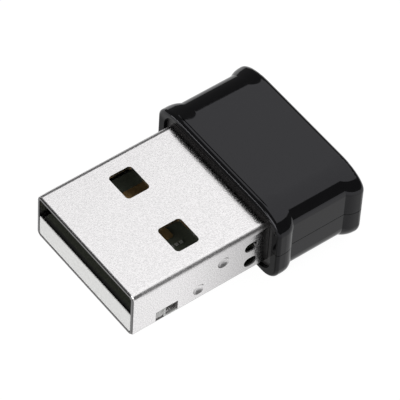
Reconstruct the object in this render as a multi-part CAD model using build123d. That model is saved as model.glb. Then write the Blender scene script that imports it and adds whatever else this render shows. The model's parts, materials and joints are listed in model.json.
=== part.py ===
from build123d import *
import math
import os

# Nano USB Wi-Fi adapter. +X is the way the plug goes in, +Y is the width, +Z is up.
# The origin is at the bottom centre of the whole object. All sizes are in millimetres.

# Driving dimensions: whole object
overall_length = 20.25
housing_width = 14.92
housing_height = 6.9
plug_exposed = 12.1

# USB-A plug shell
plug_width = 12.0
plug_height = 4.5
sheet = 0.3
shell_bend_radius = 0.5
shell_length = 15.0
shell_mouth_chamfer = 0.12
window_width = 2.58
window_length = 2.1
window_spacing = 6.08
window_from_tip = 6.2
window_corner = 0.32
dimple_radius = 0.52
dimple_depth = 0.29
dimple_places = [(6.0, -0.95), (8.2, 0.6)]
lock_hole_length = 1.08
lock_hole_height = 0.8
lock_hole_rim = 0.06
lock_hole_from_tip = 10.75
lock_hole_heights = [0.62, -1.05]
notch_from_tip = 2.1
notch_length = 2.0
notch_height = 1.4
seam_width = 0.06
seam_depth = 0.12
leg_length = 1.4
leg_height = 1.3

# Housing
waist_depth = 0.41
# Corners as (width of the shoulder, height of the shoulder, radius at the bottom)
waist_corners = (2.2, 1.43, 1.75)
front_corners = (3.0, 1.5, 1.65)
rear_corners = (3.0, 1.5, 1.62)
front_edge_radius = 0.29
rear_edge_radius = 0.45
front_flange_length = 0.75
front_flange_back = 0.9
front_back_angle = 68.0
rear_flange_length = 0.42
rear_flange_back = 1.2
rear_back_angle = 58.0
cover_wall = 0.8
cavity_radius = 0.8
seam_gap = 0.05
parting_below_middle = 0.1
top_groove_from_front = 0.42
top_groove_width = 0.08
top_groove_depth = 0.09
recess_width = 13.3
recess_height = 5.9
recess_radius = 1.35
recess_depth = 0.3
tongue_width = 0.35
tongue_height = 0.4
clearance = 0.03

# Front collar, held in a groove of the two covers
collar_nose = 0.25
collar_flange_length = 0.8
collar_flange_margin = 0.25
collar_flange_rise = 0.2

# Contact carrier
carrier_lip = 0.1
carrier_front_length = 1.0
carrier_front_margin = 0.04
carrier_side_gap = 0.22
carrier_length = 10.2
carrier_floor = 0.25
pocket_half_width = 4.3
pocket_front = 1.7
barb_length = 0.8
barb_rib = 0.12
ledge_height = 0.12
ledge_width = 0.17

# Circuit board and contacts
board_thickness = 0.8
board_plug_width = 10.84
board_housing_width = 12.2
board_front_gap = 0.13
board_wide_from_tip = 10.35
board_bevel_length = 0.34
board_bevel_height = 0.24
board_rear_margin = 0.3
contact_thickness = 0.05
contact_width = 1.0
contact_front = 1.15
power_contact_length = 7.41
data_contact_length = 5.9
outer_contact_y = 3.5
inner_contact_y = 1.0

# Places that follow from the driving dimensions
tip_x = overall_length / 2
rear_x = -overall_length / 2
front_x = tip_x - plug_exposed
plug_z = housing_height / 2
parting_z = plug_z - parting_below_middle
half_width = housing_width / 2
waist_half_width = half_width - waist_depth
inner_half_width = plug_width / 2 - sheet
inner_half_height = plug_height / 2 - sheet
shell_rear_x = tip_x - shell_length
board_top = plug_z - contact_thickness
board_bottom = board_top - board_thickness
cavity_half_width = waist_half_width - cover_wall
cavity_height = housing_height - 2 * cover_wall
cavity_front_x = front_x - recess_depth - collar_nose - collar_flange_length
cavity_rear_x = rear_x + cover_wall
board_rear_x = cavity_rear_x + board_rear_margin


def block(x0, x1, y0, y1, z0, z1):
    """A box between two corners."""
    size = (abs(x1 - x0), abs(y1 - y0), abs(z1 - z0))
    return Pos((x0 + x1) / 2, (y0 + y1) / 2, (z0 + z1) / 2) * Box(*size)


def section(x, width, height, radius):
    """A rounded rectangle across the object, centred on the plug's axis."""
    plane = Plane(origin=(x, 0, plug_z), x_dir=(0, 1, 0), z_dir=(1, 0, 0))
    return plane * RectangleRounded(width, height, radius)


def bar(x0, x1, width, height, radius):
    """A bar of rounded rectangular section along X."""
    return extrude(section(min(x0, x1), width, height, radius), abs(x1 - x0), dir=(1, 0, 0))


# Housing

def housing_section(x, half, inset, corners):
    """The housing's section: flat faces, wide elliptical shoulders and round bottom corners."""
    plane = Plane(origin=(x, 0, plug_z), x_dir=(0, 1, 0), z_dir=(1, 0, 0))
    wide, high, base = [size - inset for size in corners]
    side = half - inset
    top = plug_z - inset
    outline = Line((-side, base - top), (-side, top - high))
    outline += EllipticalCenterArc((wide - side, top - high), wide, high, 90, arc_size=90)
    outline += Line((wide - side, top), (side - wide, top))
    outline += EllipticalCenterArc((side - wide, top - high), wide, high, 0, arc_size=90)
    outline += Line((side, top - high), (side, base - top))
    outline += CenterArc((side - base, base - top), base, 270, 90)
    outline += Line((side - base, -top), (base - side, -top))
    outline += CenterArc((base - side, base - top), base, 180, 90)
    return plane * make_face(outline)


def flange_back(x_flange, x_crease, corners, angle, inset):
    """The bulging back of a flange, which falls to a crease at the waist."""
    steps = 5
    turn = math.radians(angle)
    sections = []
    for i in range(steps + 1):
        along = math.sin(turn * i / steps) / math.sin(turn)
        fall = (1 - math.cos(turn * i / steps)) / (1 - math.cos(turn))
        x = x_flange + (x_crease - x_flange) * along
        blend = [flange + (waist - flange) * fall for flange, waist in zip(corners, waist_corners)]
        sections.append(housing_section(x, half_width - waist_depth * fall, inset, blend))
    return loft(sections)


def housing_form(inset=0.0):
    """The outer form of the housing: a front flange, a narrower waist and a rear flange."""
    front_step = front_x - front_flange_length
    front_crease = front_step - front_flange_back
    rear_step = rear_x + rear_flange_length
    rear_crease = rear_step + rear_flange_back
    front_end = housing_section(front_step, half_width, inset, front_corners)
    waist = housing_section(rear_crease, waist_half_width, inset, waist_corners)
    rear_end = housing_section(rear_x + inset, half_width, inset, rear_corners)
    form = extrude(front_end, front_flange_length - inset, dir=(1, 0, 0))
    form += flange_back(front_step, front_crease, front_corners, front_back_angle, inset)
    form += extrude(waist, front_crease - rear_crease, dir=(1, 0, 0))
    form += flange_back(rear_step, rear_crease, rear_corners, rear_back_angle, inset)
    form += extrude(rear_end, rear_flange_length - inset, dir=(1, 0, 0))
    form = fillet(form.faces().sort_by(Axis.X)[-1].edges(), front_edge_radius - inset)
    return fillet(form.faces().sort_by(Axis.X)[0].edges(), rear_edge_radius - inset)


def hollow_space():
    """Everything that the covers leave free inside: cavity, collar groove and front recess."""
    space = bar(cavity_rear_x, cavity_front_x, 2 * cavity_half_width, cavity_height, cavity_radius)
    groove_front = front_x - recess_depth - collar_nose
    space += bar(
        cavity_front_x,
        groove_front,
        recess_width + 2 * collar_flange_margin,
        recess_height + 2 * collar_flange_rise,
        recess_radius + collar_flange_margin,
    )
    space += bar(groove_front, front_x + 1, recess_width, recess_height, recess_radius)
    return space


def joint_tongue(allowance):
    """The raised tongue of the lower cover, along the sides and the rear of the cavity."""
    outer = block(
        cavity_rear_x - tongue_width - allowance,
        cavity_front_x - sheet,
        -cavity_half_width - tongue_width - allowance,
        cavity_half_width + tongue_width + allowance,
        parting_z - tongue_height,
        parting_z + tongue_height + allowance,
    )
    inner = block(
        cavity_rear_x,
        cavity_front_x,
        -cavity_half_width,
        cavity_half_width,
        plug_z - housing_height,
        plug_z + housing_height,
    )
    return outer - inner


def parting_groove():
    """A fine groove around the outside, where the two covers meet."""
    slab = block(rear_x - 1, front_x + 1, -half_width - 1, half_width + 1,
                 parting_z - seam_gap / 2, parting_z + seam_gap / 2)
    return slab - housing_form(seam_gap)


def make_covers():
    form = housing_form() - hollow_space() - parting_groove()
    top = block(rear_x - 1, front_x + 1, -half_width - 1, half_width + 1, parting_z, housing_height + 1)
    bottom = block(rear_x - 1, front_x + 1, -half_width - 1, half_width + 1, -1, parting_z)
    groove_x = front_x - top_groove_from_front
    groove = block(groove_x - top_groove_width / 2, groove_x + top_groove_width / 2,
                   -half_width, half_width, housing_height - top_groove_depth, housing_height + 1)
    upper = (form & top) - joint_tongue(clearance) - groove
    lower = (form & bottom) + (joint_tongue(0) & block(rear_x, front_x, -half_width, half_width,
                                                       parting_z - tongue_height / 2,
                                                       parting_z + tongue_height))
    return upper, lower


def make_front_collar():
    nose_x = front_x - recess_depth
    flange_x = nose_x - collar_nose
    rear = flange_x - collar_flange_length + clearance
    margin = collar_flange_margin - clearance
    rise = collar_flange_rise - clearance
    collar = bar(flange_x, nose_x, recess_width - 2 * clearance, recess_height - 2 * clearance,
                 recess_radius - clearance)
    collar += bar(rear, flange_x - clearance, recess_width + 2 * margin, recess_height + 2 * rise,
                  recess_radius + margin)
    collar += bar(rear, flange_x, recess_width - 2 * clearance, recess_height - 2 * clearance,
                  recess_radius - clearance)
    shell_hole = bar(rear - 1, nose_x + 1, plug_width + 2 * clearance, plug_height + 2 * clearance,
                     shell_bend_radius + clearance)
    return collar - shell_hole


# Plug

def shell_seam():
    """The butt joint of the folded sheet along the underside, with two dovetail locks."""
    neck = 0.55
    head = 0.95
    depth = 0.9
    places = [tip_x - 3.4, tip_x - 9.0]
    points = [(tip_x + 0.1, 0)]
    for x in places:
        points += [(x + neck / 2, 0), (x + head / 2, depth), (x - head / 2, depth), (x - neck / 2, 0)]
    points.append((shell_rear_x - 0.1, 0))
    plane = Plane(origin=(0, 0, plug_z - plug_height / 2 - 0.05))
    line = plane * Polyline(*points)
    return extrude(trace(line, line_width=seam_width), seam_depth + 0.05, dir=(0, 0, 1))


def make_plug_shell():
    outer = bar(shell_rear_x, tip_x, plug_width, plug_height, shell_bend_radius)
    outer = chamfer(outer.faces().sort_by(Axis.X)[-1].edges(), shell_mouth_chamfer)
    shell = outer - bar(shell_rear_x - 1, tip_x + 1, 2 * inner_half_width, 2 * inner_half_height,
                        shell_bend_radius - sheet)
    # Windows for the latch springs of the socket, through the top and the bottom
    window = extrude(RectangleRounded(window_length, window_width, window_corner), 2 * plug_height)
    for side in (-1, 1):
        place = Pos(tip_x - window_from_tip, side * window_spacing / 2, plug_z - plug_height)
        shell -= place * window
    for side in (-1, 1):
        wall_y = side * plug_width / 2
        shell = add_dimples(shell, side, wall_y)
        shell -= lock_holes(side, wall_y)
        shell -= side_notch(side)
        shell += shell_leg(side)
    return shell - shell_seam()


def add_dimples(shell, side, wall_y):
    """Round dimples pressed into the side wall: a hollow outside and a bump inside."""
    ball = (dimple_radius ** 2 + dimple_depth ** 2) / (2 * dimple_depth)
    inner_limit = block(shell_rear_x, tip_x, side * (inner_half_width - 0.3),
                        side * (inner_half_width + 0.1), plug_z - 2, plug_z + 2)
    for from_tip, height in dimple_places:
        centre = Pos(tip_x - from_tip, wall_y + side * (ball - dimple_depth), plug_z + height)
        shell += centre * Sphere(ball + sheet * 0.8) & inner_limit
        shell -= centre * Sphere(ball)
    return shell


def lock_holes(side, wall_y):
    """Two oval holes with a countersunk rim through the side wall near the housing."""
    holes = []
    for height in lock_hole_heights:
        plane = Plane(origin=(tip_x - lock_hole_from_tip, wall_y, plug_z + height),
                      x_dir=(1, 0, 0), z_dir=(0, -side, 0))
        rim = SlotOverall(lock_hole_length + 2 * lock_hole_rim, lock_hole_height + 2 * lock_hole_rim)
        holes.append(extrude(plane * SlotOverall(lock_hole_length, lock_hole_height), sheet * 1.5))
        holes.append(extrude(plane * rim, lock_hole_rim * 1.5, taper=45))
    return holes


def side_notch(side):
    """A rectangular notch through the lower edge of the side wall."""
    x1 = tip_x - notch_from_tip
    bottom = plug_z - plug_height / 2 + sheet * 0.5
    return block(x1 - notch_length, x1, side * (inner_half_width - 0.15), side * (plug_width / 2 + 1),
                 bottom, bottom + notch_height - sheet * 0.5)


def shell_leg(side):
    """A leg behind the shell's side wall, soldered to the board's edge."""
    return block(shell_rear_x - leg_length, shell_rear_x + 0.2, side * inner_half_width,
                 side * plug_width / 2, board_bottom - 0.25, board_bottom - 0.25 + leg_height)


def make_contact_carrier():
    bottom = plug_z - inner_half_height
    front_half = inner_half_width - carrier_front_margin
    body_half = inner_half_width - carrier_side_gap
    x_front = tip_x - carrier_front_length
    x_rear = tip_x - carrier_length
    front = bar(x_front, tip_x - 0.03, 2 * front_half, 2 * (inner_half_height - carrier_front_margin),
                shell_bend_radius - sheet)
    front &= block(x_front, tip_x, -front_half, front_half, bottom - 1, plug_z)
    top_edge = front.edges().filter_by(Axis.Y).group_by(Axis.Z)[-1].sort_by(Axis.X)[-1]
    front = fillet(top_edge, 0.08)
    low = bottom + carrier_front_margin
    carrier = front + block(x_rear, x_front + 0.1, -body_half, body_half, low, plug_z)
    # Seat of the circuit board behind the front lip
    carrier -= block(x_rear - 1, tip_x - carrier_lip, -inner_half_width, inner_half_width,
                     board_bottom, plug_z + 1)
    # Pocket for the parts under the board, and a hole in its floor for the thermal pad
    carrier -= block(x_rear - 1, tip_x - pocket_front, -pocket_half_width, pocket_half_width,
                     bottom + carrier_floor, plug_z + 1)
    carrier -= block(chip_x - 2.8, chip_x + 2.8, -2.8, 2.8, bottom - 1, plug_z)
    # Barb with a rib that snaps into the shell's notch on each side, and a pocket behind it
    notch_x = tip_x - notch_from_tip
    notch_bottom = plug_z - plug_height / 2 + sheet * 0.5
    rib_x = notch_x - barb_length
    barb_top = notch_bottom + notch_height - sheet * 0.5 - 0.04
    for side in (-1, 1):
        carrier += block(rib_x, notch_x - 0.04, side * (body_half - 0.1), side * (plug_width / 2 - 0.2),
                         low + 0.02, barb_top)
        carrier += block(rib_x - barb_rib, rib_x, side * (body_half - 0.1), side * (plug_width / 2 - 0.02),
                         low + 0.02, barb_top)
        carrier -= block(notch_x - notch_length, rib_x - barb_rib, side * 4.9, side * (body_half + 0.1),
                         low + 0.02, notch_bottom + notch_height)
        ledge_y = side * (plug_width / 2 - 0.03)
        carrier += block(notch_x - notch_length + 0.04, rib_x, ledge_y - side * ledge_width, ledge_y,
                         low + 0.02, low + 0.02 + ledge_height)
    return carrier


def make_circuit_board():
    x_front = tip_x - board_front_gap
    half_plug = board_plug_width / 2
    half_housing = board_housing_width / 2
    profile = Polyline(
        (x_front, board_bottom),
        (x_front, board_top - board_bevel_height),
        (x_front - board_bevel_length, board_top),
        (shell_rear_x, board_top),
        (shell_rear_x, board_bottom),
        close=True,
    )
    plane = Plane(origin=(0, half_plug, 0), x_dir=(1, 0, 0), z_dir=(0, -1, 0))
    board = extrude(plane * make_face(profile), board_plug_width)
    board += block(board_rear_x, shell_rear_x - 0.05, -half_housing, half_housing, board_bottom, board_top)
    board += block(shell_rear_x - 0.1, tip_x - board_wide_from_tip, 0.05 - inner_half_width,
                   inner_half_width - 0.05, board_bottom, board_top)
    for side in (-1, 1):
        board -= block(shell_rear_x - leg_length - 0.1, shell_rear_x + 1, side * (inner_half_width - 0.05),
                       side * (half_housing + 1), board_bottom - 1, board_top + 1)
    return board


def make_contact(y, length):
    """A gold-plated contact strip on the board, with rounded front corners."""
    x1 = tip_x - contact_front
    x0 = tip_x - contact_front - length
    strip = Pos((x0 + x1) / 2, y, board_top) * RectangleRounded(x1 - x0, contact_width, 0.2)
    return extrude(strip, contact_thickness, dir=(0, 0, 1))


# Electronics

chip_x = 3.9
chip_size = 5.0
chip_height = 0.65


def part_below(x, y, length, width, height):
    """A moulded package on the underside of the board."""
    body = block(x - length / 2, x + length / 2, y - width / 2, y + width / 2,
                 board_bottom - height, board_bottom)
    return chamfer(body.faces().sort_by(Axis.Z)[0].edges(), 0.06)


def part_above(x, y, length, width, height):
    """A moulded package on the top of the board."""
    body = block(x - length / 2, x + length / 2, y - width / 2, y + width / 2,
                 board_top, board_top + height)
    return chamfer(body.faces().sort_by(Axis.Z)[-1].edges(), 0.06)


def make_thermal_pad():
    bottom = plug_z - inner_half_height
    return block(chip_x - 2.4, chip_x + 2.4, -2.4, 2.4, bottom, board_bottom - chip_height)


def make_solder_joints():
    """Wedges of solder between the shell's legs and the top of the board."""
    joints = []
    x0 = shell_rear_x - leg_length + 0.2
    for side in (-1, 1):
        y = side * inner_half_width
        profile = Polyline((y, board_top), (y, board_top + 0.35), (y - side * 0.45, board_top), close=True)
        plane = Plane(origin=(x0, 0, 0), x_dir=(0, 1, 0), z_dir=(1, 0, 0))
        joints.append(extrude(plane * make_face(profile), leg_length - 0.5))
    return Compound(joints)


def make_capacitors():
    places = [(0.8, 3.6), (0.8, -3.6), (7.8, 3.7), (7.8, -3.7), (7.4, 0.9)]
    parts = [part_below(x, y, 1.0, 0.5, 0.5) for x, y in places]
    for y in (-5.2, 5.2):
        parts.append(part_above(-7.1, y, 0.6, 0.3, 0.3))
    return Compound(parts)


def make_resistors():
    places = [(0.8, 2.7), (0.8, -2.7), (7.4, 0.1)]
    parts = [part_below(x, y, 1.0, 0.5, 0.35) for x, y in places]
    for y in (-0.4, 0.4):
        parts.append(part_above(-6.0, y, 0.6, 0.3, 0.25))
    return Compound(parts)


def make_test_pads():
    """Tinned test pads between the contacts, seen through a window of the shell."""
    pads = []
    for i in range(3):
        x = tip_x - 7.3 + 0.42 * i
        pads.append(block(x, x + 0.26, 2.1, 2.36, board_top, board_top + 0.03))
    return Compound(pads)


def make_matching_parts():
    places = [(-7.9, -1.5), (-7.9, 1.5), (-8.5, -1.5), (-8.5, 1.5)]
    return Compound([part_above(x, y, 0.3, 0.6, 0.3) for x, y in places])


def main():
    upper_cover, lower_cover = make_covers()
    nodes = {
        "upper_cover": upper_cover,
        "lower_cover": lower_cover,
        "front_collar": make_front_collar(),
        "plug_shell": make_plug_shell(),
        "contact_carrier": make_contact_carrier(),
        "circuit_board": make_circuit_board(),
        "contact_ground": make_contact(-outer_contact_y, power_contact_length),
        "contact_d_plus": make_contact(-inner_contact_y, data_contact_length),
        "contact_d_minus": make_contact(inner_contact_y, data_contact_length),
        "contact_vbus": make_contact(outer_contact_y, power_contact_length),
        "wifi_chip": part_below(chip_x, 0, chip_size, chip_size, chip_height),
        "thermal_pad": make_thermal_pad(),
        "crystal": part_below(7.5, 2.2, 1.6, 1.2, 0.5),
        "memory_chip": part_below(7.45, -2.1, 1.5, 2.0, 0.5),
        "esd_protector": part_below(-0.2, 0.0, 1.6, 1.6, 0.55),
        "power_inductor": part_below(-1.1, 2.4, 2.0, 2.0, 0.8),
        "regulator_chip": part_below(-1.1, -2.4, 2.0, 2.0, 0.6),
        "rf_front_end_left": part_above(-6.4, -2.3, 2.0, 2.0, 0.6),
        "rf_front_end_right": part_above(-6.4, 2.3, 2.0, 2.0, 0.6),
        "antenna_left": part_above(-8.1, -4.2, 1.4, 3.2, 1.0),
        "antenna_right": part_above(-8.1, 4.2, 1.4, 3.2, 1.0),
        "antenna_matching_parts": make_matching_parts(),
        "ceramic_capacitors": make_capacitors(),
        "chip_resistors": make_resistors(),
        "test_pads": make_test_pads(),
        "shell_solder_joints": make_solder_joints(),
    }
    os.makedirs("parts", exist_ok=True)
    for name, shape in nodes.items():
        export_step(shape, f"parts/{name}.step")


main()
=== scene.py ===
import json
import math

import bpy
from mathutils import Matrix, Vector

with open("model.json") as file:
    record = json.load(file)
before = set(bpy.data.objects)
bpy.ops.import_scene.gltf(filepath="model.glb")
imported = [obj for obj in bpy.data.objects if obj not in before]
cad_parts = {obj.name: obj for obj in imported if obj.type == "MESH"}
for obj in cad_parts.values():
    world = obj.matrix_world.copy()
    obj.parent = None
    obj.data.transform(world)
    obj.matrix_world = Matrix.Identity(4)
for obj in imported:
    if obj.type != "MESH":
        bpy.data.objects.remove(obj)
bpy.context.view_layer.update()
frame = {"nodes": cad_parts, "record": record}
nodes = frame["nodes"]

MM = 0.001
FLOOR_SIZE = 4.0
FLOOR_GLOW = 0.97
STUDIO_GREY = 0.14

# The camera is placed from the middle of the plug's tip, which is left of and below the image's centre
PLUG_TIP = Vector((10.125, 0, 3.45)) * MM
CAMERA_AZIMUTH = math.radians(140.16)
CAMERA_ELEVATION = math.radians(50.24)
CAMERA_ROLL = math.radians(3.76)
CAMERA_DISTANCE_MM = 253.1
CENTRE_RIGHT_OF_TIP_MM = 8.445
CENTRE_ABOVE_TIP_MM = 4.8
VIEW_WIDTH_MM = 29.20774
SENSOR_WIDTH = 36.0


# ---------------------------------------------------------------- materials

def new_material(name):
    material = bpy.data.materials.new(name)
    material.use_nodes = True
    tree = material.node_tree
    tree.nodes.clear()
    output = tree.nodes.new("ShaderNodeOutputMaterial")
    shader = tree.nodes.new("ShaderNodeBsdfPrincipled")
    tree.links.new(shader.outputs["BSDF"], output.inputs["Surface"])
    return material, tree, shader


def object_coordinates(tree):
    return tree.nodes.new("ShaderNodeTexCoord").outputs["Object"]


def noise(tree, vector, scale, detail=3.0, roughness=0.5):
    node = tree.nodes.new("ShaderNodeTexNoise")
    node.inputs["Scale"].default_value = scale
    node.inputs["Detail"].default_value = detail
    node.inputs["Roughness"].default_value = roughness
    tree.links.new(vector, node.inputs["Vector"])
    return node.outputs["Fac"]


def span(tree, value, low, high):
    """Turns the middle of a 0 to 1 texture value's range into a number between low and high."""
    node = tree.nodes.new("ShaderNodeMapRange")
    node.inputs["From Min"].default_value = 0.3
    node.inputs["From Max"].default_value = 0.7
    node.inputs["To Min"].default_value = low
    node.inputs["To Max"].default_value = high
    tree.links.new(value, node.inputs["Value"])
    return node.outputs["Result"]


def mix_colors(tree, value, first, second):
    ramp = tree.nodes.new("ShaderNodeValToRGB")
    ramp.color_ramp.elements[0].position = 0.35
    ramp.color_ramp.elements[1].position = 0.65
    ramp.color_ramp.elements[0].color = (*first, 1)
    ramp.color_ramp.elements[1].color = (*second, 1)
    tree.links.new(value, ramp.inputs["Fac"])
    return ramp.outputs["Color"]


def add_bump(tree, shader, height, distance, strength=1.0):
    node = tree.nodes.new("ShaderNodeBump")
    node.inputs["Strength"].default_value = strength
    node.inputs["Distance"].default_value = distance
    tree.links.new(height, node.inputs["Height"])
    tree.links.new(node.outputs["Normal"], shader.inputs["Normal"])


def along(tree, output, axis, start, end, low, high):
    """A number that goes smoothly from low at start to high at end.

    The output is "Object" for a place on the object or "Normal" for the direction its surface faces.
    """
    coordinates = tree.nodes.new("ShaderNodeTexCoord")
    split = tree.nodes.new("ShaderNodeSeparateXYZ")
    tree.links.new(coordinates.outputs[output], split.inputs["Vector"])
    node = tree.nodes.new("ShaderNodeMapRange")
    node.interpolation_type = "SMOOTHSTEP"
    node.inputs["From Min"].default_value = start
    node.inputs["From Max"].default_value = end
    node.inputs["To Min"].default_value = low
    node.inputs["To Max"].default_value = high
    tree.links.new(split.outputs[axis], node.inputs["Value"])
    return node.outputs["Result"]


def combine(tree, operation, first, second):
    node = tree.nodes.new("ShaderNodeMath")
    node.operation = operation
    for socket, value in zip(node.inputs, (first, second)):
        if isinstance(value, (int, float)):
            socket.default_value = value
        else:
            tree.links.new(value, socket)
    return node.outputs["Value"]


def tint(tree, shader, factor):
    """Multiplies the material's colour by a factor, 0 for black and 1 for no change."""
    link = shader.inputs["Base Color"].links[0]
    node = tree.nodes.new("ShaderNodeVectorMath")
    node.operation = "SCALE"
    tree.links.new(link.from_socket, node.inputs["Vector"])
    tree.links.new(factor, node.inputs["Scale"])
    tree.links.new(node.outputs["Vector"], shader.inputs["Base Color"])


def grained(name, first, second, rough_low, rough_high, grain, bump=0.0, metallic=0.0, ior=1.5):
    """A material with fine procedural variation of colour, roughness and height."""
    material, tree, shader = new_material(name)
    vector = object_coordinates(tree)
    value = noise(tree, vector, grain)
    tree.links.new(mix_colors(tree, value, first, second), shader.inputs["Base Color"])
    tree.links.new(span(tree, value, rough_low, rough_high), shader.inputs["Roughness"])
    shader.inputs["Metallic"].default_value = metallic
    shader.inputs["IOR"].default_value = ior
    if bump:
        add_bump(tree, shader, value, bump)
    return material


# The colour, gloss and roughness of the shell, the covers and the board vary with place and facing. The
# amounts were fitted to the brightness seen from this camera. They aren't measured finishes, and some stand
# in for shading and reflections that these lights don't give.

# Folded sheet steel with a fine satin grain
shell_metal = grained("shell_metal", (0.65, 0.64, 0.645), (0.90, 0.885, 0.89), 0.15, 0.26, 9000.0,
                      bump=0.000006, metallic=1.0)
tree = shell_metal.node_tree
shader = tree.nodes["Principled BSDF"]
# Darkened, as fitted: the mouth's cut edge; faces that look down, as painted shade; side walls toward the
# housing, as painted shade and painted reflection of the dark housing.
# The painted shade on faces that look down gives the lower bend its grey line; the flat underside's own
# finish is unknown.
mouth = along(tree, "Object", "X", 10.04 * MM, 10.07 * MM, 1.0, 0.16)
painted_shade_below = along(tree, "Normal", "Z", -0.45, -0.05, 0.45, 1.0)
painted_shade_and_reflection_rear = along(tree, "Object", "X", -4.5 * MM, 7.6 * MM, 0.48, 1.0)
across = along(tree, "Normal", "Z", 0.5, 0.95, 0.0, 1.0)
painted_wall_shade = combine(tree, "MAXIMUM", painted_shade_and_reflection_rear, across)
# Painted shade, as fitted: the rims of the holes next to the housing are darkened
painted_rim_shade = combine(tree, "MAXIMUM", along(tree, "Normal", "X", 0.3, 0.6, 1.0, 0.25),
               along(tree, "Object", "X", -0.7 * MM, -0.3 * MM, 0.0, 1.0))
painted_wall_shade = combine(tree, "MULTIPLY", painted_wall_shade, painted_rim_shade)
# Rougher bends, as fitted, soften the line along the edges, except at the chamfered mouth
bends = combine(tree, "MULTIPLY", along(tree, "Normal", "Z", 0.05, 0.3, 0.0, 0.18),
                along(tree, "Normal", "Z", 0.85, 0.98, 1.0, 0.0))
bends = combine(tree, "MULTIPLY", bends, along(tree, "Object", "X", 9.2 * MM, 9.7 * MM, 1.0, 0.0))
smooth = shader.inputs["Roughness"].links[0].from_socket
tree.links.new(combine(tree, "ADD", smooth, bends), shader.inputs["Roughness"])
# The shell's colour is scaled by the mouth's darkening and by the painted shade and painted reflection above
tint(tree, shader, combine(tree, "MULTIPLY", mouth, combine(tree, "MULTIPLY", painted_shade_below, painted_wall_shade)))

# Glossy black plastic of the two covers
housing_plastic = grained("housing_plastic", (0.0030, 0.0030, 0.0033), (0.0042, 0.0041, 0.0044),
                          0.05, 0.09, 2500.0, bump=0.0000004, ior=1.43)
tree = housing_plastic.node_tree
shader = tree.nodes["Principled BSDF"]
# Reflection strength, as fitted: most on top, less on the walls, least beside the plug and on the flange
polish = along(tree, "Normal", "Z", 0.0, 0.35, 0.2, 0.485)
front = combine(tree, "MAXIMUM", along(tree, "Normal", "X", 0.8, 0.97, 1.0, 0.0),
                along(tree, "Object", "Z", 5.2 * MM, 6.0 * MM, 0.3, 0.95))
flange = combine(tree, "MAXIMUM", along(tree, "Object", "X", -3.5 * MM, -2.9 * MM, 1.0, 0.75),
                 along(tree, "Normal", "Z", 0.3, 0.6, 0.0, 1.0))
level = combine(tree, "MULTIPLY", polish, combine(tree, "MULTIPLY", front, flange))
tree.links.new(level, shader.inputs["Specular IOR Level"])
shader.inputs["Specular Tint"].default_value = (0.93, 0.93, 1.0, 1)

collar_plastic = grained("collar_plastic", (0.012, 0.011, 0.011), (0.018, 0.017, 0.017), 0.35, 0.5,
                         6000.0, bump=0.000001, ior=1.3)
carrier_plastic = grained("carrier_plastic", (0.61, 0.61, 0.60), (0.67, 0.67, 0.66), 0.4, 0.55, 5000.0,
                          bump=0.000001)

board_laminate = grained("board_laminate", (0.145, 0.165, 0.125), (0.190, 0.210, 0.160), 0.4, 0.6,
                         7000.0, bump=0.000002)
tree = board_laminate.node_tree
# Painted shade, as fitted: the board's cut edges and its top toward the front edge are darkened
painted_shade_edges = along(tree, "Normal", "Z", 0.85, 0.95, 0.12, 1.0)
painted_shade_front = along(tree, "Object", "X", 6.5 * MM, 9.3 * MM, 1.0, 0.38)
tint(tree, tree.nodes["Principled BSDF"], combine(tree, "MULTIPLY", painted_shade_edges, painted_shade_front))

contact_gold = grained("contact_gold", (0.72, 0.46, 0.19), (0.80, 0.54, 0.25), 0.42, 0.5, 3000.0,
                       metallic=0.7)
package_black = grained("package_black", (0.010, 0.010, 0.011), (0.018, 0.018, 0.019), 0.5, 0.7,
                        9000.0, bump=0.000002)
crystal_metal = grained("crystal_metal", (0.62, 0.61, 0.58), (0.70, 0.69, 0.66), 0.3, 0.4, 6000.0,
                        metallic=1.0)
antenna_ceramic = grained("antenna_ceramic", (0.60, 0.57, 0.50), (0.68, 0.65, 0.58), 0.5, 0.7, 6000.0)
capacitor_ceramic = grained("capacitor_ceramic", (0.26, 0.18, 0.11), (0.33, 0.24, 0.15), 0.4, 0.6,
                            6000.0)
pad_silicone = grained("pad_silicone", (0.32, 0.37, 0.45), (0.38, 0.43, 0.51), 0.6, 0.8, 5000.0)
pad_tin = grained("pad_tin", (0.56, 0.56, 0.53), (0.66, 0.66, 0.63), 0.5, 0.7, 6000.0, metallic=0.2)
solder_metal = grained("solder_metal", (0.64, 0.64, 0.65), (0.74, 0.74, 0.75), 0.2, 0.35, 4000.0,
                       metallic=1.0)

by_slot = {
    "shell_metal": shell_metal,
    "housing_plastic": housing_plastic,
    "collar_plastic": collar_plastic,
    "carrier_plastic": carrier_plastic,
    "board_laminate": board_laminate,
    "contact_gold": contact_gold,
    "package_black": package_black,
    "crystal_metal": crystal_metal,
    "antenna_ceramic": antenna_ceramic,
    "capacitor_ceramic": capacitor_ceramic,
    "pad_silicone": pad_silicone,
    "solder_metal": solder_metal,
    "pad_tin": pad_tin,
}
for subpart in frame["record"]["subparts"]:
    piece = nodes[subpart["node"]]
    piece.data.materials.clear()
    piece.data.materials.append(by_slot[subpart["material_slot"]])


# ---------------------------------------------------------------- stage and light

def softbox(name, x_range, y_range, height, brightness):
    """A soft rectangular light that faces straight down; brightness is what a mirror would show of it."""
    lamp = bpy.data.lights.new(name, "AREA")
    lamp.shape = "RECTANGLE"
    lamp.size = x_range[1] - x_range[0]
    lamp.size_y = y_range[1] - y_range[0]
    lamp.energy = brightness * math.pi * lamp.size * lamp.size_y
    holder = bpy.data.objects.new(name, lamp)
    bpy.context.scene.collection.objects.link(holder)
    holder.location = (sum(x_range) / 2, sum(y_range) / 2, height)
    return holder


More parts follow.
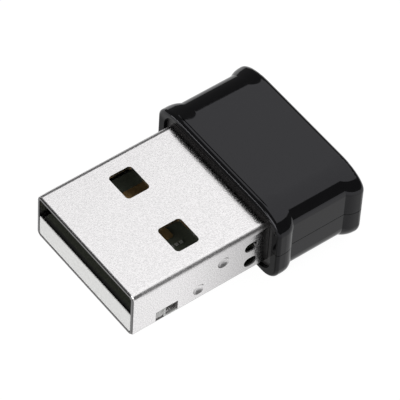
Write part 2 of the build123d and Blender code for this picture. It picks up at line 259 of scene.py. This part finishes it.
bpy.ops.mesh.primitive_plane_add(size=FLOOR_SIZE, location=(0, 0, 0))
floor = bpy.context.object
floor.name = "floor"
floor_material, tree, shader = new_material("floor_white")
shader.inputs["Base Color"].default_value = (0.12, 0.12, 0.12, 1)
shader.inputs["Roughness"].default_value = 1.0
shader.inputs["Specular IOR Level"].default_value = 0.0
shader.inputs["Emission Color"].default_value = (1, 1, 1, 1)
shader.inputs["Emission Strength"].default_value = FLOOR_GLOW
floor.data.materials.append(floor_material)
# The floor glows to give a white background, so it also lights the object from below

world = bpy.data.worlds.new("studio")
bpy.context.scene.world = world
world.use_nodes = True
background = world.node_tree.nodes["Background"]
background.inputs["Color"].default_value = (STUDIO_GREY, STUDIO_GREY, STUDIO_GREY, 1)
background.inputs["Strength"].default_value = 1.0

# The overhead light's edges were placed so that its reflection ends where the cover's top stops being bright
softbox("overhead", (-0.75, -0.09), (-0.50, 0.32), 0.60, 1.06)
front_fill = softbox("front_fill", (-0.16, 0.16), (-0.16, 0.16), 0.0, 3.0)
edge_strip = softbox("edge_strip", (-0.25, 0.25), (-0.05, 0.05), 0.0, 6.0)
for lamp, place in ((front_fill, Vector((0.45, 0.075, 0.2))), (edge_strip, Vector((0.65, -0.38, 0.06)))):
    lamp.location = place
    lamp.rotation_euler = (-place).to_track_quat("-Z", "Y").to_euler()

bpy.context.scene.view_settings.view_transform = "Standard"

# ---------------------------------------------------------------- camera

back = Vector((math.sin(CAMERA_AZIMUTH) * math.cos(CAMERA_ELEVATION),
               -math.cos(CAMERA_AZIMUTH) * math.cos(CAMERA_ELEVATION),
               math.sin(CAMERA_ELEVATION)))
level_right = Vector((math.cos(CAMERA_AZIMUTH), math.sin(CAMERA_AZIMUTH), 0))
level_up = back.cross(level_right)
right = math.cos(CAMERA_ROLL) * level_right + math.sin(CAMERA_ROLL) * level_up
up = -math.sin(CAMERA_ROLL) * level_right + math.cos(CAMERA_ROLL) * level_up
place = (PLUG_TIP + right * CENTRE_RIGHT_OF_TIP_MM * MM + up * CENTRE_ABOVE_TIP_MM * MM
         + back * (CAMERA_DISTANCE_MM * MM))

camera_data = bpy.data.cameras.new("camera")
camera_data.sensor_width = SENSOR_WIDTH
camera_data.lens = SENSOR_WIDTH * CAMERA_DISTANCE_MM / VIEW_WIDTH_MM
camera_data.clip_start = 0.01
camera_data.clip_end = 10.0
camera = bpy.data.objects.new("camera", camera_data)
bpy.context.scene.collection.objects.link(camera)
turn = Matrix((right, up, back)).transposed().to_4x4()
camera.matrix_world = Matrix.Translation(place) @ turn
bpy.context.scene.camera = camera
